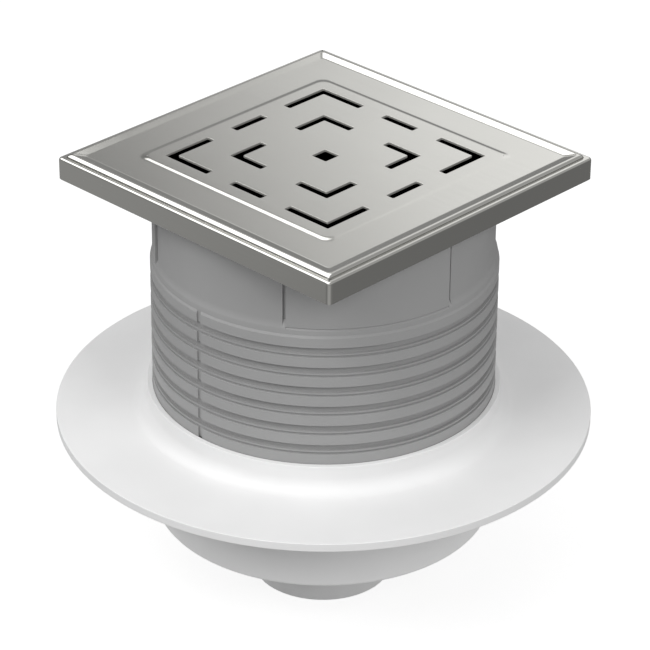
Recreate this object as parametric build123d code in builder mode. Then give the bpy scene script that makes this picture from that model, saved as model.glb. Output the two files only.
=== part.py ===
"""Floor gully trap: a square pressed cover on a ringed riser, in a flanged body with a bell water seal.

The part stands on its outlet's end, with the origin at the middle of that end and +Z up.
The cover's sides lie along X and Y. Everything is in millimetres.
"""

import os

from build123d import *

os.makedirs("parts", exist_ok=True)

# Body: outlet, bowl, flange and collar in one moulding
body_wall = 2.7
outlet_length = 34.1
outlet_radius = 29.8
outlet_end_radius = 29.0
outlet_taper_length = 4.2
pipe_radius = 25.0
pipe_clearance = 0.1
pipe_depth = 30.0
waterway_radius = 22.5
bowl_radius = 70.2
bowl_height = 42.7
bowl_edge_radius = 1.5
bowl_floor_radius = 4.0
flange_radius = 110.0
flange_thickness = 3.5
flange_edge_radius = 0.8
collar_height = 11.4
collar_wall = 2.0
collar_foot_radius = 6.0
socket_depth = 12.4
standpipe_height = 34.0
standpipe_lead = 0.6

# Riser: square head, neck and ringed tube in one moulding
riser_radius = 70.2
riser_bore_radius = 65.6
riser_length = 110.0
socket_clearance = 0.3
seat_gap = 0.2
end_lead = 0.8
head_thickness = 3.0
head_corner = 2.0
head_clearance = 0.3
head_edge_lead = 1.2
head_rib_thickness = 2.5
head_rib_drop = 5.5
head_rib_reach = 27.0
head_rib_tip = 1.2
riser_root = 1.4
neck_height = 40.8
neck_radius = 68.35
neck_cone_height = 5.3
pad_radius = 69.2
pad_count = 3
first_band_height = 5.2
ring_pitch = 8.65
groove_count = 7
groove_height = 2.8
groove_radius = 68.2
lip_radius = 69.15
lip_height = 0.4
lip_lead = 1.0
notch_width = 2.4

# Rubber seal in the riser's lowest groove
seal_height = 3.4
seal_groove_radius = 68.2
seal_below = 1.2
seal_side_clearance = 0.1
seal_fit = 0.08
seal_lip_depth = 0.5
seal_lip_count = 3

# Cover: one pressed stainless sheet
cover_side = 150.0
cover_corner = 2.0
cover_edge_radius = 1.4
pocket_corner = 0.6
sheet = 1.8
skirt_depth = 9.9
ledge_width = 2.1
ledge_drop = 0.55
bead_height = 0.7
bead_wall_run = 0.4
bead_crown_width = 0.8
bead_crown_radius = 0.35
bead_slope_width = 4.6
bead_corner = 1.5
plateau_side = 106.3
plateau_corner = 4.0
plateau_slope_width = 2.9
plateau_height = 0.35

# Slots in the cover, in two square rings round a middle hole
slot_width = 3.67
slot_corner = 0.5
slot_edge_radius = 0.4
outer_ring_side = 89.44
outer_arm = 23.26
dash_length = 17.26
inner_ring_side = 53.38
inner_arm = 17.21
middle_hole_side = 7.6

# Bell: the removable cup over the standpipe
bell_radius = 40.0
bell_wall = 2.2
bell_floor_gap = 6.0
bell_headroom = 8.0
bell_shoulder_radius = 6.0
fin_count = 4
fin_thickness = 2.0
fin_guide_drop = 12.0
fin_guide_clearance = 0.4
fin_rim_overlap = 1.8
handle_width = 34.0
handle_height = 18.0
handle_thickness = 3.5
handle_frame = 3.5
handle_corner = 6.0

# Levels from the outlet's end upwards
bowl_bottom = outlet_length
bowl_floor = bowl_bottom + body_wall
flange_bottom = bowl_bottom + bowl_height
flange_top = flange_bottom + flange_thickness
collar_top = flange_top + collar_height
socket_floor = collar_top - socket_depth
standpipe_top = bowl_floor + standpipe_height
riser_bottom = socket_floor + seat_gap
riser_top = riser_bottom + riser_length
neck_foot = riser_top - neck_height
first_groove_top = neck_foot - first_band_height
cover_plane = riser_top + sheet
ledge_level = cover_plane - ledge_drop
crown_level = cover_plane + bead_height
plateau_level = cover_plane + plateau_height
skirt_bottom = cover_plane - skirt_depth

# Radii that follow from the fits
pipe_bore_radius = pipe_radius + pipe_clearance
socket_radius = riser_radius + socket_clearance
collar_radius = socket_radius + collar_wall
bowl_bore_radius = bowl_radius - body_wall
standpipe_radius = waterway_radius + body_wall


# Trap body
with BuildPart() as trap_body:
    with BuildSketch(Plane.XZ) as outline:
        with BuildLine():
            Polyline(
                (pipe_bore_radius, 0),
                (outlet_end_radius, 0),
                (outlet_radius, outlet_taper_length),
                (outlet_radius, bowl_bottom),
                (bowl_radius, bowl_bottom),
                (bowl_radius, flange_bottom),
                (flange_radius, flange_bottom),
                (flange_radius, flange_top),
                (collar_radius, flange_top),
                (collar_radius, collar_top),
                (socket_radius, collar_top),
                (socket_radius, socket_floor),
                (bowl_bore_radius, socket_floor),
                (bowl_bore_radius, bowl_floor),
                (standpipe_radius, bowl_floor),
                (standpipe_radius, standpipe_top),
                (waterway_radius, standpipe_top),
                (waterway_radius, pipe_depth),
                (pipe_bore_radius, pipe_depth),
                close=True,
            )
        make_face()

        def outline_corner(radius, level):
            """The outline's corner at that radius and level."""
            return outline.vertices().sort_by_distance((radius, level))[0]

        fillet(outline_corner(collar_radius, flange_top), collar_foot_radius)
        fillet(outline_corner(bowl_radius, bowl_bottom), bowl_edge_radius)
        fillet(outline_corner(bowl_bore_radius, bowl_floor), bowl_floor_radius)
        for level in (flange_bottom, flange_top):
            fillet(outline_corner(flange_radius, level), flange_edge_radius)
        chamfer(outline_corner(standpipe_radius, standpipe_top), standpipe_lead)
    revolve(axis=Axis.Z)
trap_body.part.label = "trap_body"
export_step(trap_body.part, "parts/trap_body.step")


# Riser
pad_angle = 180 / pad_count
seal_groove_height = seal_height + 2 * seal_side_clearance
seal_groove_bottom = riser_bottom + seal_below
head_side = cover_side - 2 * (sheet + head_clearance)
notch_depth = riser_radius - lip_radius

with BuildPart() as head_rib:
    with BuildSketch(Plane.XZ):
        with Locations((riser_bore_radius + riser_root, riser_top - head_thickness)):
            Polygon(
                (0, 0),
                (head_rib_reach, 0),
                (head_rib_reach, -head_rib_tip),
                (0, -head_rib_drop),
                align=None,
            )
    extrude(amount=head_rib_thickness / 2, both=True)

with BuildSketch() as neck_pad:
    with BuildLine():
        face_arc = CenterArc((0, 0), pad_radius, -pad_angle, pad_angle)
        back_arc = CenterArc((0, 0), riser_bore_radius + riser_root, -pad_angle, pad_angle)
        Line(face_arc @ 0, back_arc @ 0)
        Line(face_arc @ 1, back_arc @ 1)
    make_face()

with BuildPart() as riser:
    with BuildSketch(Plane.XZ):
        with BuildLine():
            Polyline(
                (riser_bore_radius, riser_bottom),
                (riser_radius - end_lead, riser_bottom),
                (riser_radius, riser_bottom + end_lead),
                (riser_radius, neck_foot),
                (neck_radius, neck_foot + neck_cone_height),
                (neck_radius, riser_top),
                (riser_bore_radius, riser_top),
                close=True,
            )
        make_face()
    revolve(axis=Axis.Z)

    # Proud pads round the neck, between which it stands back
    with BuildSketch(Plane.XY.offset(neck_foot)):
        with PolarLocations(0, pad_count):
            add(neck_pad.sketch)
    extrude(amount=neck_height - head_thickness)

    # Square head with a rib under each corner
    with BuildSketch(Plane.XY.offset(riser_top)):
        RectangleRounded(head_side, head_side, head_corner)
        Circle(riser_bore_radius, mode=Mode.SUBTRACT)
    extrude(amount=-head_thickness)
    chamfer(riser.faces().sort_by(Axis.Z)[-1].outer_wire().edges(), head_edge_lead)
    with PolarLocations(0, 4, start_angle=45):
        add(head_rib.part)

    # Grooves to cut the tube off at, each with a raised lip and a lead out to the next band
    with BuildSketch(Plane.XZ):
        for ring in range(groove_count):
            with Locations((0, first_groove_top - ring * ring_pitch)):
                Polygon(
                    (riser_radius, 0),
                    (groove_radius, 0),
                    (groove_radius, -groove_height),
                    (lip_radius, -groove_height),
                    (lip_radius, -groove_height - lip_height),
                    (riser_radius, -groove_height - lip_height - lip_lead),
                    align=None,
                )
        with Locations((seal_groove_radius, seal_groove_bottom)):
            Rectangle(
                riser_radius - seal_groove_radius,
                seal_groove_height,
                align=(Align.MIN, Align.MIN),
            )
    revolve(axis=Axis.Z, mode=Mode.SUBTRACT)

    # Mark down the bands that shows a cut's true height
    notch_bottom = first_groove_top - (groove_count - 1) * ring_pitch
    with BuildSketch(Plane.XY.offset(notch_bottom)):
        with Locations((0, -riser_radius)):
            Rectangle(notch_width, 2 * notch_depth)
    extrude(amount=neck_foot - notch_bottom, mode=Mode.SUBTRACT)
riser.part.label = "riser"
export_step(riser.part, "parts/riser.step")


# Riser seal: a square rubber ring with lips that wipe the collar's bore
seal_inner_radius = seal_groove_radius + seal_fit
seal_outer_radius = socket_radius - seal_fit
seal_bottom = seal_groove_bottom + seal_side_clearance
lip_step = seal_height / seal_lip_count

with BuildPart() as riser_seal:
    with BuildSketch(Plane.XZ):
        with Locations((seal_inner_radius, seal_bottom)):
            Rectangle(
                seal_outer_radius - seal_lip_depth - seal_inner_radius,
                seal_height,
                align=(Align.MIN, Align.MIN),
            )
        for lip in range(seal_lip_count):
            with Locations((seal_outer_radius - seal_lip_depth, seal_bottom + lip * lip_step)):
                Polygon(
                    (0, 0),
                    (seal_lip_depth, lip_step / 2),
                    (0, lip_step),
                    align=None,
                )
    revolve(axis=Axis.Z)
riser_seal.part.label = "riser_seal"
export_step(riser_seal.part, "parts/riser_seal.step")


# Cover
bead_side = cover_side - 2 * ledge_width
bead_top_side = bead_side - 2 * bead_wall_run
dish_side = bead_top_side - 2 * bead_crown_width
panel_side = dish_side - 2 * bead_slope_width
plateau_top_side = plateau_side - 2 * plateau_slope_width


def square_step(level, side, corner, top_level, top_side, top_corner):
    """A low block with sloping sides between two rounded squares."""
    with BuildPart() as step:
        with BuildSketch(Plane.XY.offset(level)):
            RectangleRounded(side, side, corner)
        with BuildSketch(Plane.XY.offset(top_level)):
            RectangleRounded(top_side, top_side, top_corner)
        loft(ruled=True)
    return step.part


bead = square_step(ledge_level, bead_side, bead_corner, crown_level, bead_top_side, bead_corner)
dish = square_step(cover_plane, panel_side, bead_corner, crown_level, dish_side, bead_corner)
plateau, plateau_hollow = (
    square_step(
        level,
        plateau_side,
        plateau_corner,
        level + plateau_height,
        plateau_top_side,
        plateau_corner,
    )
    for level in (cover_plane, riser_top)
)

with BuildPart() as cover:
    with BuildSketch(Plane.XY.offset(skirt_bottom)):
        RectangleRounded(cover_side, cover_side, cover_corner)
    extrude(amount=ledge_level - skirt_bottom)
    fillet(cover.faces().sort_by(Axis.Z)[-1].edges(), cover_edge_radius)

    # Raised bead round the edge, and the panel sunk inside it
    add(bead)
    fillet(cover.faces().sort_by(Axis.Z)[-1].edges(), bead_crown_radius)
    add(dish, mode=Mode.SUBTRACT)

    # Plateau that carries the slots
    add(plateau)

    # Hollow side of the pressing
    with BuildSketch(Plane.XY.offset(skirt_bottom)):
        RectangleRounded(cover_side - 2 * sheet, cover_side - 2 * sheet, pocket_corner)
    extrude(amount=riser_top - skirt_bottom, mode=Mode.SUBTRACT)
    add(plateau_hollow, mode=Mode.SUBTRACT)

    with BuildSketch(Plane.XY.offset(riser_top)) as slots:
        with PolarLocations(0, 4):
            for ring_side, arm in ((outer_ring_side, outer_arm), (inner_ring_side, inner_arm)):
                with Locations((ring_side / 2, ring_side / 2)):
                    Polygon(
                        (0, 0),
                        (-arm, 0),
                        (-arm, -slot_width),
                        (-slot_width, -slot_width),
                        (-slot_width, -arm),
                        (0, -arm),
                        align=None,
                    )
            with Locations((0, (outer_ring_side - slot_width) / 2)):
                Rectangle(dash_length, slot_width)
        Rectangle(middle_hole_side, middle_hole_side)
        fillet(slots.vertices(), slot_corner)
    extrude(amount=2 * sheet, mode=Mode.SUBTRACT)
    plateau_face = cover.faces().filter_by(Axis.Z).filter_by(
        lambda face: abs(face.center().Z - plateau_level) < plateau_height / 2 and face.inner_wires()
    )[0]
    fillet(plateau_face.inner_wires().edges(), slot_edge_radius)
cover.part.label = "cover"
export_step(cover.part, "parts/cover.step")


# Bell
bell_bottom = bowl_floor + bell_floor_gap
bell_crown = standpipe_top + bell_headroom
bell_top = bell_crown + bell_wall
bell_bore_radius = bell_radius - bell_wall
guide_radius = standpipe_radius + fin_guide_clearance

with BuildPart() as bell_fin:
    with BuildSketch(Plane.XZ):
        with Locations((0, standpipe_top)):
            Polygon(
                (standpipe_radius - fin_rim_overlap, bell_headroom + bell_wall / 2),
                (standpipe_radius - fin_rim_overlap, 0),
                (guide_radius, 0),
                (guide_radius, -fin_guide_drop),
                (bell_bore_radius + bell_wall / 2, -fin_guide_drop),
                (bell_bore_radius + bell_wall / 2, 0),
                (bell_bore_radius - bell_shoulder_radius, bell_headroom + bell_wall / 2),
                align=None,
            )
    extrude(amount=fin_thickness / 2, both=True)

with BuildPart() as bell:
    with BuildSketch(Plane.XZ) as shell:
        with BuildLine():
            Polyline(
                (0, bell_top),
                (bell_radius, bell_top),
                (bell_radius, bell_bottom),
                (bell_bore_radius, bell_bottom),
                (bell_bore_radius, bell_crown),
                (0, bell_crown),
                close=True,
            )
        make_face()
        fillet(shell.vertices().sort_by_distance((bell_radius, bell_top))[0], bell_shoulder_radius)
        fillet(
            shell.vertices().sort_by_distance((bell_bore_radius, bell_crown))[0],
            bell_shoulder_radius - bell_wall,
        )
    revolve(axis=Axis.Z)
    with PolarLocations(0, fin_count, start_angle=180 / fin_count):
        add(bell_fin.part)

    # Finger loop to lift the bell out by
    with BuildSketch(Plane.XZ) as loop:
        with Locations((0, bell_crown)):
            Rectangle(
                handle_width, handle_height + bell_wall, align=(Align.CENTER, Align.MIN)
            )
        fillet(loop.vertices().group_by(Axis.Z)[-1], handle_corner)
        with Locations((0, bell_top)):
            Rectangle(
                handle_width - 2 * handle_frame,
                handle_height - handle_frame,
                align=(Align.CENTER, Align.MIN),
                mode=Mode.SUBTRACT,
            )
    extrude(amount=handle_thickness / 2, both=True)
bell.part.label = "bell"
export_step(bell.part, "parts/bell.step")

print(f"height to the cover's crown: {crown_level:.2f} mm")
print(f"water seal depth: {standpipe_top - bell_bottom:.2f} mm")
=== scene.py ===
# %% [markdown]
# A floor gully trap, dressed in Blender. The real object is four mouldings and one pressed sheet: a white
# flanged body, a grey ringed riser that plugs into it, a rubber ring between them, a lift-out bell, and a
# square slotted steel cover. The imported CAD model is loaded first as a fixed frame, so that every new piece
# has a known place. The box it fills is measured straight away, because the finished pieces have to stay
# inside it.

import math

import bmesh
import bpy
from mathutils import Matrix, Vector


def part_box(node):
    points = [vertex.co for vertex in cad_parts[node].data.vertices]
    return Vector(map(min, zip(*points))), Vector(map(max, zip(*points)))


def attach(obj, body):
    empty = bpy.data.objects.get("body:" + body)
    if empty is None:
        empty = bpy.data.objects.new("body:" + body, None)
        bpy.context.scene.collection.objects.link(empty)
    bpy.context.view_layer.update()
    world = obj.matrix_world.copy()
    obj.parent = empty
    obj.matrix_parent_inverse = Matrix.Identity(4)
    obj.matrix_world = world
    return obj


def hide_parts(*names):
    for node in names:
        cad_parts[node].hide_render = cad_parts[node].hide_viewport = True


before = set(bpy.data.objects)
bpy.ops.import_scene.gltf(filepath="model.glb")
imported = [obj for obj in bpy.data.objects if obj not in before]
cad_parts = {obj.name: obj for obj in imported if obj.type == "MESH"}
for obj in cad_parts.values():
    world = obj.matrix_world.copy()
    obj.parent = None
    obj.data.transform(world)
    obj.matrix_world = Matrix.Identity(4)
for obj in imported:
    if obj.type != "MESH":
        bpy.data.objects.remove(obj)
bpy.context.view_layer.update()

# %% [markdown]
# Pieces are drawn in millimetres, as on a workshop drawing, and shrunk to metres when they are finished.
# Small numbers such as a 0.3 mm edge stay far above the distance at which Blender merges or ignores points.
# The places of the pieces come from the boxes of the CAD nodes, so nothing has to be fitted by eye.

# %% Levels and sizes read from the frame, in millimetres
MM = 0.001
MERGE = 0.002


def node_box(node):
    """The lowest and highest corner of a CAD node, in millimetres."""
    low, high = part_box(node)
    return [v / MM for v in low], [v / MM for v in high]


_, body_high = node_box("trap_body")
riser_low, riser_high = node_box("riser")
cover_low, cover_high = node_box("cover")
flange_radius = min(body_high[:2])
collar_top = body_high[2]
riser_bottom, riser_top = riser_low[2], riser_high[2]
cover_side = cover_high[0] - cover_low[0]
skirt_bottom, crown_level = cover_low[2], cover_high[2]
print(f"flange {2 * flange_radius:.1f}, cover {cover_side:.1f}, height {crown_level:.1f} mm")

# %% [markdown]
# The photograph was taken with a long lens from a little above, turned about 44 degrees to the cover's
# side. A camera could be placed by eye, but one fitted to the corners of the cover, the rings and the
# flange gives the same perspective, so each edge lands on its own edge. The small roll is the tilt that the
# picture itself has.

# %% Camera at the photograph's angle
CAMERA_AZIMUTH = math.radians(44.02)
CAMERA_ELEVATION = math.radians(28.97)
CAMERA_DISTANCE = 1254.5 * MM
CAMERA_TARGET_LEVEL = 115.05 * MM
CAMERA_SIDE_STEP = 0.35 * MM
CAMERA_ROLL = math.radians(0.469)
CAMERA_LENS = 170.7
SENSOR_WIDTH = 36.0

bpy.ops.object.select_all(action="DESELECT")
side_x, side_y = math.cos(CAMERA_AZIMUTH), math.sin(CAMERA_AZIMUTH)
reach = CAMERA_DISTANCE * math.cos(CAMERA_ELEVATION)
bpy.ops.object.camera_add(
    location=(
        CAMERA_SIDE_STEP * side_x + reach * side_y,
        CAMERA_SIDE_STEP * side_y - reach * side_x,
        CAMERA_TARGET_LEVEL + CAMERA_DISTANCE * math.sin(CAMERA_ELEVATION),
    ),
    rotation=(math.pi / 2 - CAMERA_ELEVATION, 0, CAMERA_AZIMUTH),
)
camera = bpy.context.object
camera.name = "studio_camera"
camera.rotation_euler.rotate_axis("Z", CAMERA_ROLL)
camera.data.lens = CAMERA_LENS
camera.data.sensor_width = SENSOR_WIDTH
bpy.context.scene.camera = camera
print("camera at", [round(v, 3) for v in camera.location])

# %% [markdown]
# Round mouldings are turned: half a section is drawn as a closed line and spun about the axis, as a lathe
# does. The line starts as a plane that is merged to one point, and each further corner is extruded from the
# last. Corners are then rounded by bevelling their points, which is quick to change and puts points only
# where the shape bends.

# %% Helpers to draw, round and spin a section
FULL_TURN = 2 * math.pi


def start_piece(name):
    """A new object that holds one small square, open in edit mode with all of it selected."""
    bpy.ops.object.select_all(action="DESELECT")
    bpy.ops.mesh.primitive_plane_add(size=1)
    piece = bpy.context.object
    piece.name = name
    piece.data.name = name
    bpy.ops.object.mode_set(mode="EDIT")
    bpy.ops.mesh.select_mode(type="VERT")
    bpy.ops.mesh.select_all(action="SELECT")
    return piece


def pick(piece, test, add=False):
    """Selects the points that pass the test, and the edges and faces between them."""
    if not add:
        bpy.ops.mesh.select_all(action="DESELECT")
    mesh = bmesh.from_edit_mesh(piece.data)
    for point in mesh.verts:
        if test(point.co):
            point.select = True
    mesh.select_flush(True)
    bmesh.update_edit_mesh(piece.data)


def near(corner):
    """A test for the point of a section at that radius and level."""
    return lambda co: math.hypot(co.x - corner[0], co.z - corner[1]) < MERGE


def draw_section(piece, corners, closed=True):
    """Turns the starting square into a line through the corners, given as radius and level."""
    bpy.ops.mesh.merge(type="CENTER")
    bpy.ops.transform.translate(value=(corners[0][0], 0, corners[0][1]))
    for (radius, level), (next_radius, next_level) in zip(corners, corners[1:]):
        step = (next_radius - radius, 0, next_level - level)
        bpy.ops.mesh.extrude_vertices_move(TRANSFORM_OT_translate={"value": step})
    if closed:
        pick(piece, near(corners[-1]))
        pick(piece, near(corners[0]), add=True)
        bpy.ops.mesh.edge_face_add()


def round_corners(piece, corners, radius, steps):
    """Rounds the section at those corners."""
    for corner in corners:
        pick(piece, near(corner))
        bpy.ops.mesh.bevel(offset=radius, affect="VERTICES", segments=steps)


def spin(turn, steps):
    """Spins the selection about the axis and leaves the last copy selected. Positive goes from X to Y."""
    bpy.ops.mesh.spin(steps=steps, angle=-turn, center=(0, 0, 0), axis=(0, 0, 1))


# %% [markdown]
# Every piece is closed off in the same way. Doubled points are merged, faces are turned outwards, the piece
# shrinks to metres about the origin, and only edges sharper than a set angle stay sharp. Weighted normals
# then keep the wide flat faces flat beside their small roundings, which is what a moulded or pressed edge
# looks like.

# %% Helper to finish a piece
SHARP_ANGLE = 38
RISER_SHARP_ANGLE = 28


def finish_piece(piece, body, node, material, crease=SHARP_ANGLE):
    """Closes, shrinks and shades the piece, gives it its finish, and puts it in place of its CAD node."""
    bpy.ops.mesh.select_all(action="SELECT")
    bpy.ops.mesh.remove_doubles(threshold=MERGE)
    bpy.ops.mesh.normals_make_consistent(inside=False)
    bpy.ops.transform.resize(value=(MM, MM, MM), center_override=(0, 0, 0))
    bpy.ops.object.mode_set(mode="OBJECT")
    bpy.ops.object.shade_smooth_by_angle(angle=math.radians(crease))
    bpy.ops.object.modifier_add(type="WEIGHTED_NORMAL")
    piece.modifiers[-1].keep_sharp = True
    bpy.ops.object.modifier_apply(modifier=piece.modifiers[-1].name)
    piece.data.materials.clear()
    piece.data.materials.append(material)
    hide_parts(node)
    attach(piece, body)
    mesh = bmesh.new()
    mesh.from_mesh(piece.data)
    loose = sum(1 for edge in mesh.edges if len(edge.link_faces) != 2)
    mesh.free()
    print(f"{piece.name}: {len(piece.data.polygons)} faces, {loose} open edges")


# %% [markdown]
# Moulded plastic is never one flat colour. The tone drifts slightly over a few centimetres where the melt
# cooled unevenly, the gloss varies a little, and a fine spark-eroded grain breaks up the highlights. All of
# it is made from noise on Object coordinates, so the grain has a real size in metres and stays put when the
# piece moves.

# %% Helpers to build a material from nodes


def node_maker(nodes):
    """A function that adds a node, with settings or plain inputs given by name."""

    def node(kind, **settings):
        made = nodes.new(kind)
        for key, value in settings.items():
            if hasattr(made, key):
                setattr(made, key, value)
            else:
                made.inputs[key.replace("_", " ").title()].default_value = value
        return made

    return node


def new_material(name):
    """A new node material with its shader, the maker of its nodes, and the maker of its links."""
    material = bpy.data.materials.new(name)
    material.use_nodes = True
    nodes, links = material.node_tree.nodes, material.node_tree.links
    return material, nodes["Principled BSDF"], node_maker(nodes), links.new


def feed(link, places, values):
    """Gives each socket its value: a plain number is set, anything else is linked."""
    for place, value in zip(places, values):
        if isinstance(value, (int, float)):
            place.default_value = value
        else:
            link(value, place)


def math_node(node, link, operation, *values):
    """One step of arithmetic on values or plain numbers."""
    made = node("ShaderNodeMath", operation=operation)
    feed(link, made.inputs, values)
    return made.outputs[0]


def blend(node, link, factor, first, second):
    """A number between two others, by a factor from nothing to one."""
    mix = node("ShaderNodeMix", data_type="FLOAT")
    feed(link, (mix.inputs[0], mix.inputs[2], mix.inputs[3]), (factor, first, second))
    return mix.outputs[0]


def grain(node, link, scale, detail=2.0, stretch=(1, 1, 1)):
    """Noise on Object coordinates. Scale counts cells in a metre, and stretch draws them out on an axis."""
    place = node("ShaderNodeTexCoord")
    mapping = node("ShaderNodeMapping")
    mapping.inputs["Scale"].default_value = stretch
    noise = node("ShaderNodeTexNoise", scale=scale, detail=detail)
    link(place.outputs["Object"], mapping.inputs["Vector"])
    link(mapping.outputs["Vector"], noise.inputs["Vector"])
    return noise.outputs["Fac"]


def spread(node, link, value, low, high):
    """A number between low and high that follows the middle part of a noise."""
    ramp = node("ShaderNodeMapRange")
    ramp.inputs["From Min"].default_value = 0.3
    ramp.inputs["From Max"].default_value = 0.7
    ramp.inputs["To Min"].default_value = low
    ramp.inputs["To Max"].default_value = high
    link(value, ramp.inputs["Value"])
    return ramp.outputs["Result"]


def tones(node, link, value, dark, light):
    """A colour between two tones that follows a noise."""
    mix = node("ShaderNodeMix", data_type="RGBA")
    mix.inputs[6].default_value = (*dark, 1)
    mix.inputs[7].default_value = (*light, 1)
    link(spread(node, link, value, 0, 1), mix.inputs[0])
    return mix.outputs[2]


def bump(node, link, height, shader, distance, strength=1.0):
    """Raises the surface by that height, in metres where it is strongest."""
    relief = node("ShaderNodeBump")
    relief.inputs["Strength"].default_value = strength
    relief.inputs["Distance"].default_value = distance
    link(height, relief.inputs["Height"])
    link(relief.outputs["Normal"], shader.inputs["Normal"])


# %% [markdown]
# The body and the riser are satin polypropylene, the ring is matt rubber and the cover is brushed stainless
# steel. A punch tears the sides of the slots instead of polishing them, so there the steel is made rougher
# and less like clean metal, by place on the sheet. The same place, with the slots' rolled lips, is also
# painted a darker grey: painted shade for the dim inside of the slots, which also dulls the lips' highlight.
# One flat grey for each piece would give the right tones but none of the small unevenness that makes them
# real. Grain is given in cells to the metre, so 1800 is about half a millimetre.

# %% Moulded plastic, rubber and steel
DRIFT_CELLS, GLOSS_CELLS, GRAIN_CELLS = 28, 160, 1800
GLOSS_SWING = 0.04
PLASTIC_IOR = 1.46
BLOOM_CELLS, RUBBER_GLOSS_CELLS, RUBBER_GRAIN_CELLS = 90, 500, 2500
SHEET_TONES = (0.60, 0.595, 0.565), (0.62, 0.615, 0.585)
LINE_CELLS, LINE_STRETCH, LINE_HEIGHT = 40, (0.35, 45, 45), 0.002
POLISH_CELLS, POLISH_LOW, POLISH_HIGH = 22, 0.10, 0.14

# The punched sides and most of their rolled lips lie within this reach of the cover's middle, and below this
# height over the riser's top
SLOTTED_REACH = 50.0
SIDE_TOP = 2.07
# A darker grey on the slots' sides and lips: painted shade for the dim inside of the slots
SIDE_TONE_AND_SHADE = (0.32, 0.317, 0.30, 1)
SIDE_ROUGHNESS = 0.6
SIDE_METAL = 0.15


def moulded_plastic(name, tone, roughness, drift=0.02, relief=0.02):
    """Satin moulding: a slow drift of tone, uneven gloss and a fine eroded grain."""
    material, shader, node, link = new_material(name)
    light = [min(1.0, c * (1 + drift)) for c in tone]
    dark = [c * (1 - drift) for c in tone]
    link(tones(node, link, grain(node, link, DRIFT_CELLS), dark, light), shader.inputs["Base Color"])
    gloss = grain(node, link, GLOSS_CELLS, detail=4)
    smooth, rough = roughness - GLOSS_SWING, roughness + GLOSS_SWING
    link(spread(node, link, gloss, smooth, rough), shader.inputs["Roughness"])
    bump(node, link, grain(node, link, GRAIN_CELLS, detail=3), shader, relief * MM, strength=0.35)
    shader.inputs["IOR"].default_value = PLASTIC_IOR
    return material


def seal_rubber(name):
    """Matt black rubber with a faint bloom."""
    material, shader, node, link = new_material(name)
    bloom = grain(node, link, BLOOM_CELLS, detail=4)
    link(tones(node, link, bloom, (0.018, 0.018, 0.02), (0.045, 0.045, 0.045)), shader.inputs["Base Color"])
    link(spread(node, link, grain(node, link, RUBBER_GLOSS_CELLS), 0.62, 0.78), shader.inputs["Roughness"])
    bump(node, link, grain(node, link, RUBBER_GRAIN_CELLS), shader, 0.02 * MM, strength=0.4)
    return material


def punched_side_and_shade(node, link):
    """One on the punched sides of the slots and their lips, and nothing on the rest of the sheet. It places
    rougher steel and a painted shade.
    """
    place = node("ShaderNodeTexCoord")
    axes = node("ShaderNodeSeparateXYZ")
    link(place.outputs["Object"], axes.inputs[0])
    across = [math_node(node, link, "ABSOLUTE", axes.outputs[axis]) for axis in "XY"]
    reach = math_node(node, link, "MAXIMUM", *across)
    inside = math_node(node, link, "LESS_THAN", reach, SLOTTED_REACH * MM)
    below = math_node(node, link, "LESS_THAN", axes.outputs["Z"], (riser_top + SIDE_TOP) * MM)
    return math_node(node, link, "MULTIPLY", inside, below)


def brushed_steel(name):
    """Stainless sheet with a fine grain drawn along one side, and a soft cloudiness left by polishing."""
    material, shader, node, link = new_material(name)
    lines = grain(node, link, LINE_CELLS, detail=5, stretch=LINE_STRETCH)
    # The slots' sides and lips are rougher steel, painted a darker grey as painted shade
    side = punched_side_and_shade(node, link)
    colour = node("ShaderNodeMix", data_type="RGBA")
    link(side, colour.inputs[0])
    link(tones(node, link, lines, *SHEET_TONES), colour.inputs[6])
    colour.inputs[7].default_value = SIDE_TONE_AND_SHADE
    link(colour.outputs[2], shader.inputs["Base Color"])
    polish = spread(node, link, grain(node, link, POLISH_CELLS, detail=3), POLISH_LOW, POLISH_HIGH)
    link(blend(node, link, side, polish, SIDE_ROUGHNESS), shader.inputs["Roughness"])
    link(blend(node, link, side, 1.0, SIDE_METAL), shader.inputs["Metallic"])
    bump(node, link, lines, shader, LINE_HEIGHT * MM, strength=0.25)
    return material


white_moulding = moulded_plastic("white_moulding", tone=(0.84, 0.84, 0.84), roughness=0.42)
grey_moulding = moulded_plastic("grey_moulding", tone=(0.35, 0.35, 0.35), roughness=0.45)
bell_moulding = moulded_plastic("bell_moulding", tone=(0.30, 0.30, 0.30), roughness=0.42)
black_rubber = seal_rubber("black_rubber")
cover_steel = brushed_steel("cover_steel")
print("materials:", len(bpy.data.materials))

# %% [markdown]
# The white body is one moulding: outlet, bowl, flange and collar, with the standpipe inside. It could be
# stacked up from cylinders, but a turned section is how its mould is cut, and it has one continuous wall
# with no hidden seams. The wide sweep between flange and collar is what catches the light at the front. The
# collar's mouth closes in to a tenth of a millimetre from the riser, as a wiping edge does, so hardly any
# gap shows.

# %% Body section
BODY_STEPS = 288
SOFT_EDGE = 0.3
COLLAR_FOOT = 6.0
BOWL_FLOOR_SWEEP = 4.0
BOWL_EDGE = 1.5
FLANGE_EDGE = 0.3
MOUTH_RADIUS = 70.3
MOUTH_HEIGHT = 0.8
MOUTH_LEAD = 0.3
MOUTH_EDGE = 0.08

body_wall = 2.7
outlet_length, outlet_radius, outlet_end_radius, outlet_taper = 34.1, 29.8, 29.0, 4.2
pipe_bore_radius, pipe_depth, waterway_radius = 25.1, 30.0, 22.5
bowl_radius, bowl_height, flange_thickness = 70.2, 42.7, 3.5
socket_radius, collar_radius, socket_depth = 70.5, 72.5, 12.4
standpipe_height, standpipe_lead = 34.0, 0.6

bowl_floor = outlet_length + body_wall
flange_bottom = outlet_length + bowl_height
flange_top = flange_bottom + flange_thickness
socket_floor = collar_top - socket_depth
bowl_bore_radius = bowl_radius - body_wall
standpipe_radius = waterway_radius + body_wall
standpipe_top = bowl_floor + standpipe_height

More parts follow.
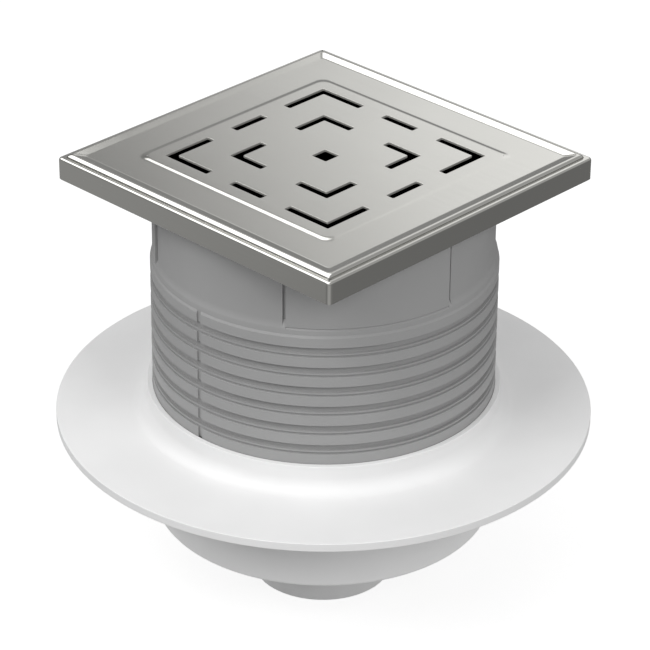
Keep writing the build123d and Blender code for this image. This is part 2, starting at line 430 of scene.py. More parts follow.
body = start_piece("gully_body")
draw_section(body, [
    (pipe_bore_radius, 0),
    (outlet_end_radius, 0),
    (outlet_radius, outlet_taper),
    (outlet_radius, outlet_length),
    (bowl_radius, outlet_length),
    (bowl_radius, flange_bottom),
    (flange_radius, flange_bottom),
    (flange_radius, flange_top),
    (collar_radius, flange_top),
    (collar_radius, collar_top),
    (MOUTH_RADIUS, collar_top),
    (MOUTH_RADIUS, collar_top - MOUTH_HEIGHT),
    (socket_radius, collar_top - MOUTH_HEIGHT - MOUTH_LEAD),
    (socket_radius, socket_floor),
    (bowl_bore_radius, socket_floor),
    (bowl_bore_radius, bowl_floor),
    (standpipe_radius, bowl_floor),
    (standpipe_radius, standpipe_top - standpipe_lead),
    (standpipe_radius - standpipe_lead, standpipe_top),
    (waterway_radius, standpipe_top),
    (waterway_radius, pipe_depth),
    (pipe_bore_radius, pipe_depth),
])
round_corners(body, [(collar_radius, flange_top)], COLLAR_FOOT, steps=12)
round_corners(body, [(bowl_bore_radius, bowl_floor)], BOWL_FLOOR_SWEEP, steps=8)
round_corners(body, [(bowl_radius, outlet_length)], BOWL_EDGE, steps=6)
round_corners(body, [(flange_radius, flange_bottom), (flange_radius, flange_top)], FLANGE_EDGE, steps=5)
round_corners(body, [
    (pipe_bore_radius, 0),
    (outlet_end_radius, 0),
    (collar_radius, collar_top),
    (waterway_radius, standpipe_top),
], SOFT_EDGE, steps=3)
round_corners(body, [(MOUTH_RADIUS, collar_top)], MOUTH_EDGE, steps=2)
bpy.ops.mesh.select_all(action="SELECT")
spin(FULL_TURN, BODY_STEPS)
finish_piece(body, "trap_body", "trap_body", white_moulding)

# %% [markdown]
# The grey riser is a ringed tube. Seven grooves show where it may be cut to height, each with a thin lip
# under it. The neck above them is not fully round: three parts stand 0.85 mm proud of the three between,
# with a narrow groove at each change and a shallow one under each proud part. It flares out to the first
# band in a small slope that catches the light, and a mark runs down the bands at the front. All of this
# follows the turn, so the section is spun in stages, with a very short stage at each step, and the points
# of each part are then moved out or in.

# %% Riser section
RISER_STEP = math.radians(1.4)
STEP_TURN = math.radians(0.05)
BAND_EDGE = 0.22
PAD_COUNT = 3
PAD_TURN = math.radians(57.7)
FLARE_RUN = 0.6
FLARE_HEIGHT = 0.9
FLARE_DROP = 1.0
FOOT_GROOVE_HEIGHT = 0.5
FOOT_GROOVE_DEPTH = 0.45
SIDE_GROOVE_WIDTH = 1.3
SIDE_GROOVE_RADIUS = 67.5

riser_radius, bore_radius, groove_radius, lip_radius, slit_radius = 70.2, 65.6, 68.5, 69.8, 69.3
neck_radius, pad_radius, neck_height, cone_height = 68.35, 69.2, 40.8, 5.3
first_band, ring_pitch, groove_count = 5.2, 8.65, 7
groove_height, lip_height, slit_height = 2.8, 0.6, 0.8
end_lead, seal_groove_foot, seal_groove_height, seal_groove_radius = 0.8, 1.2, 3.6, 68.2
head_thickness = 3.0

neck_foot = riser_top - neck_height
cone_top = neck_foot + cone_height
head_underside = riser_top - head_thickness
cone_lean = (riser_radius - neck_radius) / cone_height
pad_foot = neck_foot + (riser_radius - pad_radius) / cone_lean
foot_groove_level = pad_foot - FOOT_GROOVE_HEIGHT
foot_groove_top = pad_radius + FOOT_GROOVE_HEIGHT * cone_lean
groove_tops = [neck_foot - first_band - ring * ring_pitch for ring in range(groove_count)]

riser_section = [
    (bore_radius, riser_top),
    (bore_radius, riser_bottom),
    (riser_radius - end_lead, riser_bottom),
    (riser_radius, riser_bottom + end_lead),
    (riser_radius, riser_bottom + seal_groove_foot),
    (seal_groove_radius, riser_bottom + seal_groove_foot),
    (seal_groove_radius, riser_bottom + seal_groove_foot + seal_groove_height),
    (riser_radius, riser_bottom + seal_groove_foot + seal_groove_height),
]
band_edges = []
for top in reversed(groove_tops):
    lip_foot = top - groove_height - lip_height
    band_edges += [(riser_radius, lip_foot - slit_height), (riser_radius, top)]
    riser_section += [
        (riser_radius, lip_foot - slit_height),
        (slit_radius, lip_foot - slit_height),
        (slit_radius, lip_foot),
        (lip_radius, lip_foot),
        (lip_radius, lip_foot + lip_height),
        (groove_radius, lip_foot + lip_height),
        (groove_radius, top),
        (riser_radius, top),
    ]
riser_section += [
    (riser_radius, neck_foot - FLARE_DROP),
    (riser_radius - FLARE_RUN, neck_foot - FLARE_DROP + FLARE_HEIGHT),
    (foot_groove_top + FOOT_GROOVE_HEIGHT * cone_lean, foot_groove_level - FOOT_GROOVE_HEIGHT),
    (foot_groove_top, foot_groove_level),
    (pad_radius, pad_foot),
    (neck_radius, cone_top),
    (neck_radius, head_underside),
]
riser = start_piece("ringed_riser")
draw_section(riser, riser_section, closed=False)
round_corners(riser, band_edges, BAND_EDGE, steps=2)
print("riser section points:", len(riser_section))

# %% [markdown]
# A real tool would mill the steps between the parts and the mark into the mould. Here the stages of the
# turn leave columns of points just where those steps and grooves are, and each group of columns is moved in
# or out by its radius. Cutting them afterwards would need the bands and lips to be rebuilt on both sides of
# every cut.

# %% Riser turned in stages
NOTCH_WIDTH = 1.9
NOTCH_RADIUS = 69.45
NOTCH_ANGLE = 1.5 * math.pi

pad_pitch = FULL_TURN / PAD_COUNT
low_turn = pad_pitch - PAD_TURN
notch_half = math.asin(NOTCH_WIDTH / 2 / riser_radius)
half_groove = SIDE_GROOVE_WIDTH / 2 / neck_radius
notch_turn = (PAD_COUNT - 1) * pad_pitch + low_turn / 2


def turn_by(turn):
    """Spins the last ring on by that angle, in steps of about the riser's usual size."""
    spin(turn, max(1, round(turn / RISER_STEP)))


def turn_part(whole, notched=False):
    """One part of the neck, with half a groove at each end and, at the front, the mark."""
    middle = whole - 2 * (half_groove + STEP_TURN)
    stages = (middle,)
    if notched:
        half = middle / 2 - notch_half - STEP_TURN
        stages = (half, STEP_TURN, 2 * notch_half, STEP_TURN, half)
    for turn in (half_groove, STEP_TURN, *stages, STEP_TURN, half_groove):
        turn_by(turn)


bpy.ops.mesh.select_all(action="SELECT")
for number in range(PAD_COUNT):
    turn_part(low_turn, notched=number == PAD_COUNT - 1)
    turn_part(PAD_TURN)
bpy.ops.mesh.select_all(action="SELECT")
bpy.ops.mesh.remove_doubles(threshold=MERGE)


def turn_of(co):
    """The angle of a point round the axis from where the turning began, up to a full turn."""
    return math.atan2(co.y, co.x) % FULL_TURN


def past_groove(co):
    """How far the point's turn is beyond the nearest groove between two parts of the neck."""
    turn = turn_of(co) % pad_pitch
    nearest = min(turn, abs(turn - low_turn), pad_pitch - turn)
    return nearest - half_groove - STEP_TURN / 2


def on_pad(co):
    """Whether the point lies on one of the proud parts of the neck."""
    return past_groove(co) > 0 and turn_of(co) % pad_pitch > low_turn


def on_neck(co):
    """Whether the point lies on the straight part of the neck's outside."""
    return abs(math.hypot(co.x, co.y) - neck_radius) < MERGE * 5 and co.z > neck_foot


def in_foot_groove(co):
    """Whether the point lies on the middle line of the groove under a proud part."""
    return abs(co.z - foot_groove_level) < MERGE and math.hypot(co.x, co.y) > neck_radius and on_pad(co)


def in_notch(co):
    """Whether the point lies on a band's face inside the mark."""
    inside = abs(turn_of(co) - notch_turn) < notch_half + STEP_TURN / 4
    proud = math.hypot(co.x, co.y) > (lip_radius + riser_radius) / 2 - BAND_EDGE / 2
    return inside and proud and groove_tops[-1] - MERGE < co.z < neck_foot + MERGE


# Proud parts grow out, then side grooves, foot grooves and the mark sink in
for test, factor in (
    (lambda co: on_neck(co) and on_pad(co), pad_radius / neck_radius),
    (lambda co: on_neck(co) and past_groove(co) < 0, SIDE_GROOVE_RADIUS / neck_radius),
    (in_foot_groove, 1 - FOOT_GROOVE_DEPTH / foot_groove_top),
    (in_notch, NOTCH_RADIUS / riser_radius),
):
    pick(riser, test)
    bpy.ops.transform.resize(value=(factor, factor, 1), center_override=(0, 0, 0))

# The turning began at +X, so the whole riser is turned on until the mark faces the front. The rotate tool
# counts a positive value the other way round
bpy.ops.mesh.select_all(action="SELECT")
bpy.ops.transform.rotate(value=notch_turn - NOTCH_ANGLE, orient_axis="Z", center_override=(0, 0, 0))
print("riser points:", len(riser.data.vertices))

# %% [markdown]
# On top of the neck sits the square head that carries the cover, hidden by it but seen from below. It is
# drawn as two rounded squares of edges, and the flat faces between them and the round tube are filled in.
# Filling from edges handles the round hole in the square face by itself, where bridging would twist.

# %% Riser head
HEAD_SIDE = 145.8
HEAD_CORNER = 2.0
HEAD_CORNER_STEPS = 6
HEAD_LEAD = 1.2
RIB_THICKNESS, RIB_DROP, RIB_REACH, RIB_TIP = 2.5, 5.5, 27.0, 1.2
RIB_ROOT_RADIUS = bore_radius + 1.4
RIB_SUNK = 1.0
RIB_COUNT = 4


def square_loop(side, corner, level, steps):
    """Adds a rounded square of edges at that level."""
    bpy.ops.mesh.select_all(action="DESELECT")
    bpy.ops.mesh.primitive_plane_add(size=side, location=(0, 0, level))
    bpy.ops.mesh.bevel(offset=corner, affect="VERTICES", segments=steps)
    bpy.ops.mesh.delete(type="ONLY_FACE")


def on_square(side, corner, level):
    """A test for the points of one rounded square."""
    flat = side / 2 - corner

    def test(co):
        x, y = abs(co.x) - flat, abs(co.y) - flat
        off = math.hypot(max(x, 0), max(y, 0)) + min(max(x, y), 0) - corner
        return abs(off) < MERGE and abs(co.z - level) < MERGE

    return test


def square_tower(piece, loops, steps):
    """A skin through rounded squares, each given as side, corner radius and level.

    Two neighbours at one level may be joined crosswise, as the cover's two at the ledge are.
    """
    for number, loop in enumerate(loops):
        square_loop(*loop, steps)
        if number:
            pick(piece, on_square(*loops[number - 1]))
            pick(piece, on_square(*loop), add=True)
            bpy.ops.mesh.bridge_edge_loops()


def fill_level(piece, level, side):
    """Fills the flat space between all the edges at that level, out to a square of that side."""
    reach = side / 2 + MERGE
    pick(piece, lambda co: abs(co.z - level) < MERGE and max(abs(co.x), abs(co.y)) < reach)
    bpy.ops.mesh.fill()


def copies_round(piece, count):
    """The piece and its copies, turned evenly about the axis."""
    made = [piece]
    for number in range(1, count):
        bpy.ops.object.select_all(action="DESELECT")
        piece.select_set(True)
        bpy.context.view_layer.objects.active = piece
        bpy.ops.object.duplicate(linked=False)
        copy = bpy.context.object
        copy.rotation_euler.z = FULL_TURN * number / count
        bpy.ops.object.transform_apply(location=False, rotation=True, scale=False)
        made.append(copy)
    return made


def join_into(piece, parts):
    """Joins the parts into the piece and opens it again in edit mode."""
    bpy.ops.object.select_all(action="DESELECT")
    for part in parts:
        part.select_set(True)
    piece.select_set(True)
    bpy.context.view_layer.objects.active = piece
    bpy.ops.object.join()
    bpy.ops.object.mode_set(mode="EDIT")
    bpy.ops.mesh.select_mode(type="VERT")


square_tower(riser, [
    (HEAD_SIDE, HEAD_CORNER, head_underside),
    (HEAD_SIDE, HEAD_CORNER, riser_top - HEAD_LEAD),
    (HEAD_SIDE - 2 * HEAD_LEAD, HEAD_CORNER - HEAD_LEAD / 2, riser_top),
], HEAD_CORNER_STEPS)
fill_level(riser, head_underside, HEAD_SIDE)
fill_level(riser, riser_top, HEAD_SIDE)
bpy.ops.object.mode_set(mode="OBJECT")

rib = start_piece("head_rib")
draw_section(rib, [
    (RIB_ROOT_RADIUS, head_underside + RIB_SUNK),
    (RIB_ROOT_RADIUS + RIB_REACH, head_underside + RIB_SUNK),
    (RIB_ROOT_RADIUS + RIB_REACH, head_underside - RIB_TIP),
    (RIB_ROOT_RADIUS, head_underside - RIB_DROP),
])
bpy.ops.mesh.select_all(action="SELECT")
bpy.ops.mesh.edge_face_add()
bpy.ops.transform.translate(value=(0, -RIB_THICKNESS / 2, 0))
bpy.ops.mesh.extrude_region_move(TRANSFORM_OT_translate={"value": (0, RIB_THICKNESS, 0)})
bpy.ops.object.mode_set(mode="OBJECT")
rib.rotation_euler.z = math.pi / 4
bpy.ops.object.transform_apply(location=False, rotation=True, scale=False)
join_into(riser, copies_round(rib, RIB_COUNT))
finish_piece(riser, "riser", "riser", grey_moulding, crease=RISER_SHARP_ANGLE)

# %% [markdown]
# The cover is one pressed sheet. Its edge is a skirt, a rolled outer edge and a narrow ledge, then a small
# steep step up to a raised bead that runs down to the panel in a long soft S. In the middle a square
# plateau stands 0.3 mm proud and carries the slots. Polished metal shows its shape only through
# reflections, so these curves matter more here than anywhere else. A bevel along a plain box would give one
# curve for all. Here each curve is an arc of rounded squares, and the squares are joined in bands from the
# middle outwards.

# %% Cover sizes and edge profile
CORNER_STEPS = 8
SHEET = 1.8
PANEL_BELOW_CROWN = 0.7
LEDGE_DROP = 0.55
OUTER_ROLL = 1.1
LEDGE_FLAT = 1.2
BEAD_ROLL = 2.4
BEAD_LEAN = math.radians(42)
STEP_ROLL = 0.3
STEP_LEAN = math.radians(85)
STEP_FOOT_ROLL = 0.1
SWEEP_STEPS, BEAD_STEPS, STEP_STEPS, ROLL_STEPS = 5, 11, 4, 8
BEAD_INNER_LEAN = math.radians(11)
BEAD_INNER_SWEEP = 5.0
PLATEAU_FOOT_SIDE = 106.3
PLATEAU_SLOPE = 2.9
PLATEAU_HEIGHT = 0.3
PLATEAU_CORNER = 4.0
SLOPE_STEPS = 4
COVER_CORNER = 2.0
BEAD_CORNER = 1.5

panel_level = crown_level - PANEL_BELOW_CROWN
ledge_level = panel_level - LEDGE_DROP
plateau_level = panel_level + PLATEAU_HEIGHT
seat_level = riser_top
bead_rise = crown_level - ledge_level


def s_curve(width, rise, steps):
    """Distances and heights along a soft step made of two equal arcs."""
    lean = 2 * math.atan(rise / width)
    bend = width / 2 / math.sin(lean)
    half = [
        (bend * math.sin(lean * i / steps), bend * (1 - math.cos(lean * i / steps)))
        for i in range(steps + 1)
    ]
    return half + [(width - run, rise - up) for run, up in reversed(half[:-1])]


def arc(centre, radius, start, end, steps):
    """Points of an arc about its centre, from one angle to another."""
    angles = [start + (end - start) * i / steps for i in range(steps + 1)]
    return [(centre[0] + radius * math.cos(angle), centre[1] + radius * math.sin(angle)) for angle in angles]


# The step's flat takes up what height the arcs leave. The distance in then follows from ledge, step and bead
step_foot = OUTER_ROLL + LEDGE_FLAT
arcs_rise = (
    BEAD_ROLL * (1 - math.cos(BEAD_LEAN))
    + STEP_ROLL * (math.cos(BEAD_LEAN) - math.cos(STEP_LEAN))
    + STEP_FOOT_ROLL * (1 - math.cos(STEP_LEAN))
)
step_flat = (bead_rise - arcs_rise) / math.sin(STEP_LEAN)
step_in = (
    step_foot
    + STEP_FOOT_ROLL * math.sin(STEP_LEAN)
    + step_flat * math.cos(STEP_LEAN)
    + STEP_ROLL * (math.sin(STEP_LEAN) - math.sin(BEAD_LEAN))
)
crown_in = step_in + BEAD_ROLL * math.sin(BEAD_LEAN)
crown_up = PANEL_BELOW_CROWN

inner_rise = crown_up - (BEAD_ROLL + BEAD_INNER_SWEEP) * (1 - math.cos(BEAD_INNER_LEAN))
panel_in = (
    crown_in
    + (BEAD_ROLL + BEAD_INNER_SWEEP) * math.sin(BEAD_INNER_LEAN)
    + inner_rise / math.tan(BEAD_INNER_LEAN)
)
step_middle = BEAD_ROLL - STEP_ROLL

# Arcs from the panel out to the skirt. Each point is the distance in from the cover's side, and the height
# over the panel. The step's arc starts on the bead's last point, so its own first point is left out
up, down, outwards = math.pi / 2, -math.pi / 2, math.pi
step_centre = (
    crown_in - step_middle * math.sin(BEAD_LEAN),
    crown_up - BEAD_ROLL + step_middle * math.cos(BEAD_LEAN),
)
edge = arc((panel_in, BEAD_INNER_SWEEP), BEAD_INNER_SWEEP, down, down - BEAD_INNER_LEAN, SWEEP_STEPS)
edge += arc((crown_in, crown_up - BEAD_ROLL), BEAD_ROLL, up - BEAD_INNER_LEAN, up + BEAD_LEAN, BEAD_STEPS)
edge += arc(step_centre, STEP_ROLL, up + BEAD_LEAN, up + STEP_LEAN, STEP_STEPS)[1:]
edge += arc((step_foot, -LEDGE_DROP + STEP_FOOT_ROLL), STEP_FOOT_ROLL, down + STEP_LEAN, down, STEP_STEPS)
edge += arc((OUTER_ROLL, -LEDGE_DROP - OUTER_ROLL), OUTER_ROLL, up, outwards, ROLL_STEPS)
print(f"edge profile: {len(edge)} points, crown {crown_in:.2f} mm in, panel from {edge[0][0]:.2f} mm")

# %% [markdown]
# A pressed sheet has the same form on both sides, one sheet's thickness apart. The outside is drawn from
# the plateau out to the skirt's burr, and then the inside back to the plateau, as one chain of rounded
# squares. A flat plate with a thickness added would be quicker, but its corners would fold over one another
# in the tight bead. Known fault: the two squares at the ledge's level are joined crosswise. Four sheets
# cross the whole cover there, close the slots from inside and leave most of the cover's faces turned
# inwards.

# %% Cover skin
SKIRT_BURR = 0.3


def edge_corner(inset):
    """The corner radius of the rounded square that far in: that of the roll first, then that of the bead."""
    if inset >= step_foot:
        return BEAD_CORNER
    return max(COVER_CORNER - inset, COVER_CORNER - OUTER_ROLL)


cover_loops = [
    (PLATEAU_FOOT_SIDE - 2 * PLATEAU_SLOPE + 2 * run, PLATEAU_CORNER, plateau_level - fall)
    for run, fall in s_curve(PLATEAU_SLOPE, PLATEAU_HEIGHT, SLOPE_STEPS)
]
cover_loops += [(cover_side - 2 * inset, edge_corner(inset), panel_level + height) for inset, height in edge]
cover_loops += [
    (cover_side, COVER_CORNER, skirt_bottom + SKIRT_BURR),
    (cover_side - 2 * SKIRT_BURR, COVER_CORNER - SKIRT_BURR, skirt_bottom),
    (cover_side - 2 * SHEET, COVER_CORNER / 3, skirt_bottom),
    (cover_side - 2 * SHEET, COVER_CORNER / 3, seat_level),
    (PLATEAU_FOOT_SIDE, PLATEAU_CORNER, seat_level),
    (PLATEAU_FOOT_SIDE - 2 * PLATEAU_SLOPE, PLATEAU_CORNER, seat_level + PLATEAU_HEIGHT),
]
cover = start_piece("slotted_cover")
bpy.ops.mesh.delete(type="VERT")
square_tower(cover, cover_loops, CORNER_STEPS)
bpy.ops.object.mode_set(mode="OBJECT")
print("cover skin:", len(cover_loops), "rounded squares")

# %% [markdown]
# The slots are punched in two square rings: an angle at each corner, a dash between the outer ones, and one
# square in the middle. The punch draws the sheet's edge down a little, so each slot has a rolled lip. A
# slot is modelled once as a face that is inset and sunk in small steps, then driven straight down, and its
# floor is taken out. It is then copied to its places, and the flat plateau is filled in round them.

# %% Slot shapes
SLOT_WIDTH = 3.67
SLOT_CORNER = 0.5
SLOT_CORNER_STEPS = 4
SLOT_LIP = 0.12
LIP_STEPS = 4
OUTER_RING, OUTER_ARM, DASH = 89.44, 23.26, 17.26
INNER_RING, INNER_ARM, MIDDLE_HOLE = 53.38, 17.21, 7.6
slot_floor = seat_level + PLATEAU_HEIGHT


def sink_slot(name, outer_corners, inner_corner):
    """Rounds the corners of the drawn face, rolls its lip down, and cuts it through the sheet."""
    slot = bpy.context.object
    for x, y in outer_corners:
        pick(slot, lambda co: math.hypot(co.x - x, co.y - y) < MERGE)
        bpy.ops.mesh.bevel(offset=SLOT_CORNER + SLOT_LIP, affect="VERTICES", segments=SLOT_CORNER_STEPS)
    if inner_corner:
        pick(slot, lambda co: math.hypot(co.x - inner_corner[0], co.y - inner_corner[1]) < MERGE)
        bpy.ops.mesh.bevel(offset=SLOT_CORNER - SLOT_LIP, affect="VERTICES", segments=SLOT_CORNER_STEPS)
    bpy.ops.mesh.select_all(action="SELECT")
    lip = [(SLOT_LIP * math.sin(t), SLOT_LIP * (1 - math.cos(t)))
           for t in (math.pi / 2 * i / LIP_STEPS for i in range(LIP_STEPS + 1))]
    for (run, down), (next_run, next_down) in zip(lip, lip[1:]):
        bpy.ops.mesh.inset(thickness=next_run - run, depth=down - next_down)
    drop = slot_floor - (plateau_level - SLOT_LIP)
    bpy.ops.mesh.extrude_region_move(TRANSFORM_OT_translate={"value": (0, 0, drop)})
    bpy.ops.mesh.delete(type="ONLY_FACE")
    bpy.ops.object.mode_set(mode="OBJECT")
    slot.name = name
    return slot


def straight_slot(name, length, width, y):
    """A straight slot along X, centred at that distance from the middle."""
    start_piece(name)
    long, wide = length + 2 * SLOT_LIP, width + 2 * SLOT_LIP
    bpy.ops.transform.resize(value=(long, wide, 1))
    bpy.ops.transform.translate(value=(0, y, plateau_level))
    corners = [(sx * long / 2, y + sy * wide / 2) for sx in (-1, 1) for sy in (-1, 1)]
    return sink_slot(name, corners, None)


def angle_slot(name, ring, arm):
    """An L-shaped slot whose outer corner is a corner of its ring."""
    piece = start_piece(name)
    wide, out = SLOT_WIDTH + 2 * SLOT_LIP, ring / 2 + SLOT_LIP
    inner, far = out - wide, out - arm - 2 * SLOT_LIP
    bpy.ops.transform.resize(value=(wide, wide, 1))
    bpy.ops.transform.translate(value=(out - wide / 2, out - wide / 2, plateau_level))
    for step, axis in (((far - inner, 0, 0), 0), ((0, far - inner, 0), 1)):
        pick(piece, lambda co: abs(co[axis] - inner) < MERGE and co[1 - axis] > inner - MERGE)
        bpy.ops.mesh.extrude_region_move(TRANSFORM_OT_translate={"value": step})
    bpy.ops.mesh.select_all(action="SELECT")
    bpy.ops.mesh.normals_make_consistent(inside=False)
    bpy.ops.mesh.dissolve_faces()
    corners = [(out, out), (far, out), (far, inner), (out, far), (inner, far)]
    return sink_slot(name, corners, (inner, inner))


slots = copies_round(angle_slot("outer_angle", OUTER_RING, OUTER_ARM), 4)
slots += copies_round(straight_slot("outer_dash", DASH, SLOT_WIDTH, (OUTER_RING - SLOT_WIDTH) / 2), 4)
slots += copies_round(angle_slot("inner_angle", INNER_RING, INNER_ARM), 4)
slots.append(straight_slot("middle_hole", MIDDLE_HOLE, MIDDLE_HOLE, 0))
print("slots:", len(slots))

# %% [markdown]
# The slots and the skin become one mesh, as the real sheet is one piece. The two flat faces that the slots
# break, the plateau's top and its underside, are filled from their edges, round the mouth of each slot. A
# boolean cut would also work, but it leaves thin triangles at the rolled lips, and those show in polished
# metal.

# %% Cover joined and filled
join_into(cover, slots)
plateau_top_side = PLATEAU_FOOT_SIDE - 2 * PLATEAU_SLOPE
fill_level(cover, plateau_level, plateau_top_side)
fill_level(cover, slot_floor, plateau_top_side)
finish_piece(cover, "riser", "cover", cover_steel)

# %% [markdown]
# The bell and the rubber ring are hidden in the assembled trap and seen only through the slots or in a
# section. Their CAD solids already have the right shape, so they stay, and only take a better finish. The
# ring rides in the riser's lowest groove and the bell rests on the standpipe.

# %% Finishes on the carried-over pieces
for node, finish in (("bell", bell_moulding), ("riser_seal", black_rubber)):
    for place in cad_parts[node].material_slots:
        place.material = finish
    print(node, "takes", finish.name)

# %% [markdown]
# The floor is a plain pale sheet. It looks white through a glow that only camera, glossy and transmission
# rays see. The glow is added to the floor's own shading, so the soft shadow under the trap stays, and it
# puts no light on the object. More lamps would also whiten the floor, but they would bleach the trap with
# it. The world beyond is white to the same rays. To all others it is a soft grey that lights everything
# evenly.

# %% Floor and world
FLOOR_SIZE = 8.0
FLOOR_TONES = (0.34, 0.34, 0.34), (0.36, 0.36, 0.36)
FLOOR_TONE_CELLS, FLOOR_GLOSS_CELLS = 12, 60
FLOOR_GLOW = 0.79
WORLD_LIGHT = 0.42


def seen_directly(node, link):
    """One for camera, glossy and transmission rays, and nothing for the rest."""
    path = node("ShaderNodeLightPath")
    kinds = ("Is Camera Ray", "Is Glossy Ray", "Is Transmission Ray")
    seen = path.outputs[kinds[0]]
    for kind in kinds[1:]:
        seen = math_node(node, link, "MAXIMUM", seen, path.outputs[kind])
    return seen


floor_paper, shader, node, link = new_material("floor_paper")
paper = grain(node, link, FLOOR_TONE_CELLS, detail=3)
link(tones(node, link, paper, *FLOOR_TONES), shader.inputs["Base Color"])
link(spread(node, link, grain(node, link, FLOOR_GLOSS_CELLS), 0.85, 0.95), shader.inputs["Roughness"])
shader.inputs["Emission Color"].default_value = (1, 1, 1, 1)
glow = math_node(node, link, "MULTIPLY", seen_directly(node, link), FLOOR_GLOW)
link(glow, shader.inputs["Emission Strength"])
floor_paper.cycles.emission_sampling = "NONE"

bpy.ops.object.select_all(action="DESELECT")
bpy.ops.mesh.primitive_plane_add(size=FLOOR_SIZE)
floor = bpy.context.object
floor.name = "studio_floor"
floor.data.materials.append(floor_paper)

world = bpy.context.scene.world or bpy.data.worlds.new("studio")
bpy.context.scene.world = world
world.use_nodes = True
world.node_tree.nodes.clear()
world_node, world_link = node_maker(world.node_tree.nodes), world.node_tree.links.new
strength = world_node("ShaderNodeMapRange")
strength.inputs["To Min"].default_value = WORLD_LIGHT
strength.inputs["To Max"].default_value = 1.0
world_link(seen_directly(world_node, world_link), strength.inputs["Value"])
sky = world_node("ShaderNodeBackground")
world_link(strength.outputs["Result"], sky.inputs["Strength"])
sky.inputs["Color"].default_value = (1, 1, 1, 1)
world_out = world_node("ShaderNodeOutputWorld")
world_link(sky.outputs[0], world_out.inputs["Surface"])
print("floor and world ready")

# %% [markdown]
# Three soft boxes light the trap at a plain level: a wide one overhead, and one low at each side of the
# camera that brings up the collar and the front of the riser. They are hidden from glossy rays, because
# what polished steel mirrors is set separately below.

# %% Soft boxes


def soft_box(name, azimuth, elevation, distance, size, power):
    """A square area light that points at the middle of the trap."""
    turn, lift = math.radians(azimuth), math.radians(elevation)
    back = (math.sin(turn) * math.cos(lift), -math.cos(turn) * math.cos(lift), math.sin(lift))
    bpy.ops.object.light_add(
        type="AREA",
        location=[distance * v for v in back[:2]] + [distance * back[2] + CAMERA_TARGET_LEVEL],
        rotation=(math.pi / 2 - lift, 0, turn),
    )
    light = bpy.context.object
    light.name = name
    light.data.size = size
    light.data.energy = power
    light.visible_glossy = False
    light.visible_camera = False
    print(name, "at", [round(v, 2) for v in light.location], "power", power)


soft_box("overhead_box", azimuth=30, elevation=75, distance=2.0, size=1.6, power=5)
soft_box("left_box", azimuth=-6, elevation=44, distance=2.0, size=1.0, power=18.5)
soft_box("right_box", azimuth=82, elevation=34, distance=2.0, size=0.8, power=13.5)

# %% [markdown]
# Polished steel looks like what surrounds it. In the photograph that is a studio with a bright screen high
# on the left, a grey backdrop that brightens to the right, and a dim room low down. One way to give that is
# a crowd of cards. Here it is one large tent whose inside is painted by direction, seen by glossy rays
# only, so it changes the reflections and puts no light on anything.

# %% Reflection tent
TENT_RADIUS = 3.2
SHEEN_LEAN = 11.5


def curve(node, link, value, stops):
    """A number that follows the stops, each an angle in degrees and a brightness."""
    ramp = node("ShaderNodeFloatCurve")
    points = ramp.mapping.curves[0].points
    low, high = stops[0][0], stops[-1][0]
    peak = max(brightness for _, brightness in stops)
    scale = node("ShaderNodeMapRange")
    scale.inputs["From Min"].default_value = math.radians(low)
    scale.inputs["From Max"].default_value = math.radians(high)
    link(value, scale.inputs["Value"])
    for number, (angle, brightness) in enumerate(stops):
        spot = ((angle - low) / (high - low), brightness / peak)
        if number in (0, len(stops) - 1):
            points[-1 if number else 0].location = spot
        else:
            points.new(*spot)
    for point in points:
        point.handle_type = "VECTOR"
    ramp.mapping.update()
    link(scale.outputs["Result"], ramp.inputs["Value"])
    return math_node(node, link, "MULTIPLY", ramp.outputs[0], peak)


def glow_only(paint, node, link, brightness):
    """Makes the paint a plain glow of that brightness, which is never sampled as a lamp."""
    glow = node("ShaderNodeEmission")
    link(brightness, glow.inputs["Strength"])
    link(glow.outputs[0], paint.node_tree.nodes["Material Output"].inputs["Surface"])
    paint.cycles.emission_sampling = "NONE"


def glossy_only(piece):
    """Hides a stage piece from all rays but reflections."""
    piece.visible_camera = False
    piece.visible_diffuse = False
    piece.visible_transmission = False
    piece.visible_volume_scatter = False
    piece.visible_shadow = False


tent_paint, shader, node, link = new_material("tent_paint")
place = node("ShaderNodeTexCoord")
unit = node("ShaderNodeVectorMath", operation="NORMALIZE")
link(place.outputs["Object"], unit.inputs[0])
axes = node("ShaderNodeSeparateXYZ")
link(unit.outputs[0], axes.inputs[0])
lift = math_node(node, link, "ARCSINE", axes.outputs["Z"])
side = math_node(node, link, "ARCTAN2", axes.outputs["X"], axes.outputs["Y"])

# The sheen of flat steel by direction, leant over with height, so that soft slopes to the right keep its tone
lean = curve(node, link, lift, [
    (20, 10), (24, 10), (26, 11.5), (28, 13), (33, 15.8), (36.5, 19.2), (39, 20.8), (41, 23), (43, 26),
    (46, 32.5), (50, 41),
])
lean_back = math_node(node, link, "RADIANS", math_node(node, link, "SUBTRACT", lean, SHEEN_LEAN))
leant_side = math_node(node, link, "SUBTRACT", side, lean_back)
sheen = curve(node, link, leant_side, [
    (-7, 0.34), (-4.3, 0.49), (-3, 0.59), (-2, 0.67), (-1, 0.735), (0, 0.8), (1, 0.88), (2, 0.97), (3, 1.03),
    (4.3, 1.1), (7, 1.17), (12, 1.25),
])

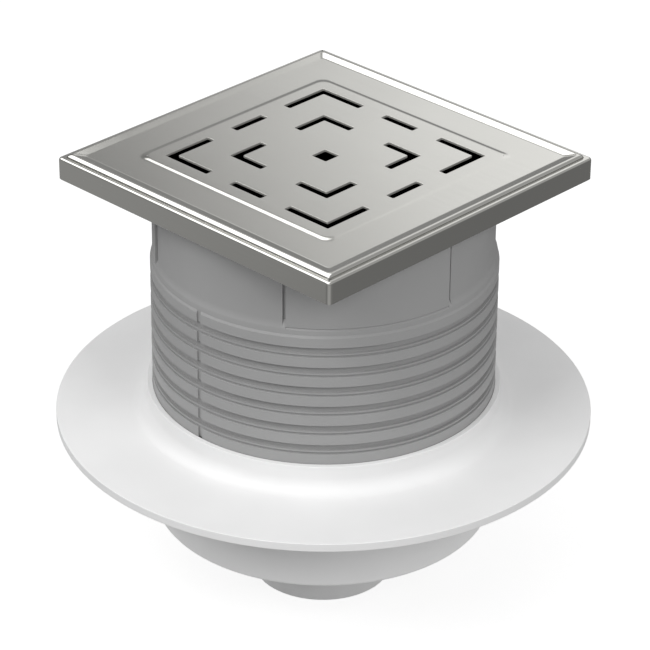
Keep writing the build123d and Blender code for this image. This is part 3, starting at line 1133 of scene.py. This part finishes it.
# The bright screen high on the left, the room and floor low down, and the wall far to the right
screen = curve(node, link, lift, [(28, 0.2), (32, 0.28), (34.5, 0.6), (36.5, 2.4), (60, 2.4)])
screen_share = curve(node, link, leant_side, [(-12, 1), (-8, 0)])
low_left = curve(node, link, lift, [(-60, 0.3), (0, 0.33), (10, 0.35), (20, 0.3)])
low_right = curve(node, link, lift, [(-60, 0.2), (0, 0.22), (10, 0.24), (20, 0.5)])
low_blend = curve(node, link, side, [(-7, 0), (7, 1)])
low_share = curve(node, link, lift, [(15, 1), (23.5, 0)])
far_wall = curve(node, link, lift, [
    (-30, 0.2), (0, 0.2), (10, 0.22), (20, 0.35), (27, 0.55), (34, 0.65), (40, 0.5), (52, 0.43), (60, 0.5),
])
far_share = curve(node, link, side, [(-180, 0), (14, 0), (27, 1), (160, 1), (180, 0)])
painted = blend(node, link, screen_share, sheen, screen)
painted = blend(node, link, low_share, painted, blend(node, link, low_blend, low_left, low_right))
painted = blend(node, link, far_share, painted, far_wall)
glow_only(tent_paint, node, link, painted)

bpy.ops.object.select_all(action="DESELECT")
bpy.ops.mesh.primitive_uv_sphere_add(
    segments=64,
    ring_count=32,
    radius=TENT_RADIUS,
    location=(0, 0, crown_level * MM),
    rotation=(0, 0, CAMERA_AZIMUTH),
)
tent = bpy.context.object
tent.name = "reflection_tent"
tent.data.materials.append(tent_paint)
glossy_only(tent)
print("tent radius", TENT_RADIUS)

# %% [markdown]
# The skirt is upright, so it mirrors the floor. On the photograph's floor the left is a little brighter
# than the right, which sets the tones of the two sides that are seen. The white floor itself would make
# both far too bright.

# %% Reflection ring over the floor
RING_LEVEL = 0.5 * MM
RING_INNER = 0.2

ring_paint, shader, node, link = new_material("ring_paint")
place = node("ShaderNodeTexCoord")
axes = node("ShaderNodeSeparateXYZ")
link(place.outputs["Object"], axes.inputs[0])
side = math_node(node, link, "ARCTAN2", axes.outputs["X"], axes.outputs["Y"])
tone = curve(node, link, side, [
    (-180, 0.46), (-165, 0.44), (-140, 0.22), (-110, 0.3), (-90, 0.36), (0, 0.3), (90, 0.19), (140, 0.24),
    (165, 0.44), (180, 0.46),
])
glow_only(ring_paint, node, link, tone)

bpy.ops.object.select_all(action="DESELECT")
bpy.ops.mesh.primitive_circle_add(
    vertices=96,
    radius=RING_INNER,
    fill_type="NOTHING",
    location=(0, 0, RING_LEVEL),
    rotation=(0, 0, CAMERA_AZIMUTH),
)
ring = bpy.context.object
ring.name = "reflection_ring"
bpy.ops.object.mode_set(mode="EDIT")
bpy.ops.mesh.select_all(action="SELECT")
bpy.ops.mesh.extrude_edges_move()
ring_growth = TENT_RADIUS / RING_INNER
bpy.ops.transform.resize(value=(ring_growth, ring_growth, 1))
bpy.ops.object.mode_set(mode="OBJECT")
ring.data.materials.append(ring_paint)
glossy_only(ring)
print("ring from", RING_INNER, "to", TENT_RADIUS)

# %% [markdown]
# The colours should come out as they are written, so the picture is shown with the plain Standard transform.

# %% Colour management and the end
bpy.context.scene.view_settings.view_transform = "Standard"
